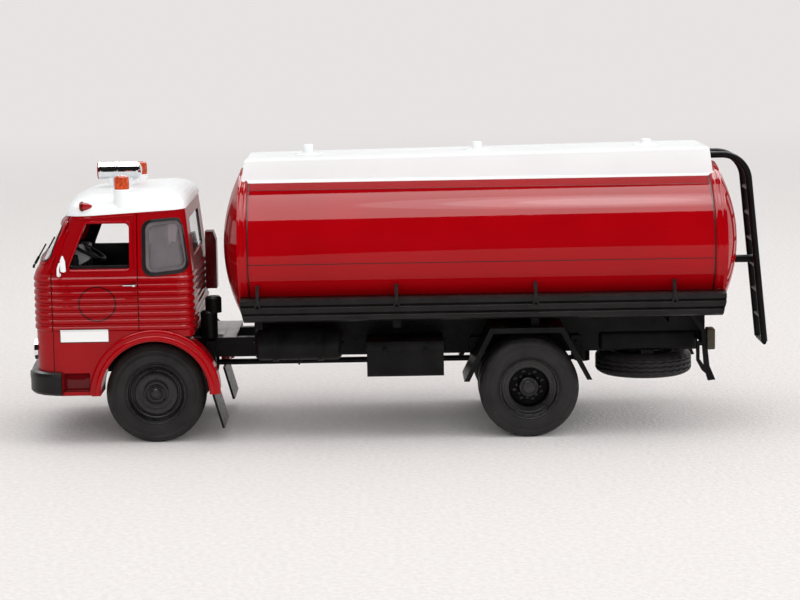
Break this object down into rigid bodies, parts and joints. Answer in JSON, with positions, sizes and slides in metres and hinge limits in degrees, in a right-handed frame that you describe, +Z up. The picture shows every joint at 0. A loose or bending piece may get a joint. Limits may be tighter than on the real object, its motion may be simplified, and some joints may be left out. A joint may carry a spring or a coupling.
{
  "type": "die-cast scale model of a tanker lorry",
  "caption": "Display model of a two-axle fire brigade tanker lorry with a ribbed forward-control cab, oval tank, rear ladder and free-rolling wheels.",
  "frame": {"origin": "middle of the overall length and width, at the ground under the wheels", "axes": "+Z up, front towards -X, the lorry's left side towards -Y"},
  "size_m": [0.1898, 0.0584, 0.0726],
  "materials": {
    "body_red": "gloss red enamel",
    "roof_white": "gloss white enamel",
    "chassis_black": "satin black moulding",
    "rim_black": "satin black moulding",
    "tyre_rubber": "soft black rubber",
    "axle_steel": "plain steel rod",
    "interior_black": "matt black moulding",
    "seal_black": "black rubber",
    "clear_glazing": "clear glazing",
    "bright_chrome": "bright plated",
    "beacon_amber": "clear orange moulding",
    "marker_red": "clear red moulding",
    "intake_red": "dark red enamel"
  },
  "bodies": {
    "chassis": {"cab_body": "body_red", "tank_shell": "body_red", "cab_roof": "roof_white", "walkway": "roof_white", "hatches": "roof_white", "beacon_bases": "roof_white", "mirrors": "roof_white", "frame_rail_left": "chassis_black", "frame_rail_right": "chassis_black", "crossmembers": "chassis_black", "front_axle_beam": "chassis_black", "rear_axle_housing": "chassis_black", "front_springs": "chassis_black", "rear_springs": "chassis_black", "propshaft": "chassis_black", "engine_block": "chassis_black", "front_mud_flaps": "chassis_black", "rear_mudguard_left": "chassis_black", "rear_mudguard_right": "chassis_black", "air_tank": "chassis_black", "battery_box": "chassis_black", "fuel_tank": "chassis_black", "spare_carrier": "chassis_black", "rear_lamp_bar": "chassis_black", "tank_cradle": "chassis_black", "side_skirt_left": "chassis_black", "side_skirt_right": "chassis_black", "ladder": "chassis_black", "front_bumper": "chassis_black", "air_cleaner": "chassis_black", "spare_wheel": "tyre_rubber", "cab_floor": "interior_black", "seats": "interior_black", "dashboard": "interior_black", "steering_wheel": "interior_black", "wipers": "interior_black", "quarter_seals": "seal_black", "windscreen_seal": "seal_black", "windscreen_glass": "clear_glazing", "rear_window_glass": "clear_glazing", "quarter_glass": "clear_glazing", "siren": "bright_chrome", "headlamps": "bright_chrome", "door_handles": "bright_chrome", "grille": "bright_chrome", "beacon_lenses": "beacon_amber", "roof_marker_lamps": "marker_red", "air_intake": "intake_red"},
    "front_wheelset": {"front_tyre_left": "tyre_rubber", "front_tyre_right": "tyre_rubber", "front_rim_left": "rim_black", "front_rim_right": "rim_black", "front_axle": "axle_steel"},
    "rear_wheelset": {"rear_tyres_left": "tyre_rubber", "rear_tyres_right": "tyre_rubber", "rear_rims_left": "rim_black", "rear_rims_right": "rim_black", "rear_axle": "axle_steel"}
  },
  "joints": [
    {"name": "front_axle_spin", "type": "hinge", "parent": "chassis", "child": "front_wheelset", "pos_m": [-0.06175, 0, 0.0125], "axis": [0, 1, 0], "continuous": true},
    {"name": "rear_axle_spin", "type": "hinge", "parent": "chassis", "child": "rear_wheelset", "pos_m": [0.03175, 0, 0.0125], "axis": [0, 1, 0], "continuous": true}
  ]
}
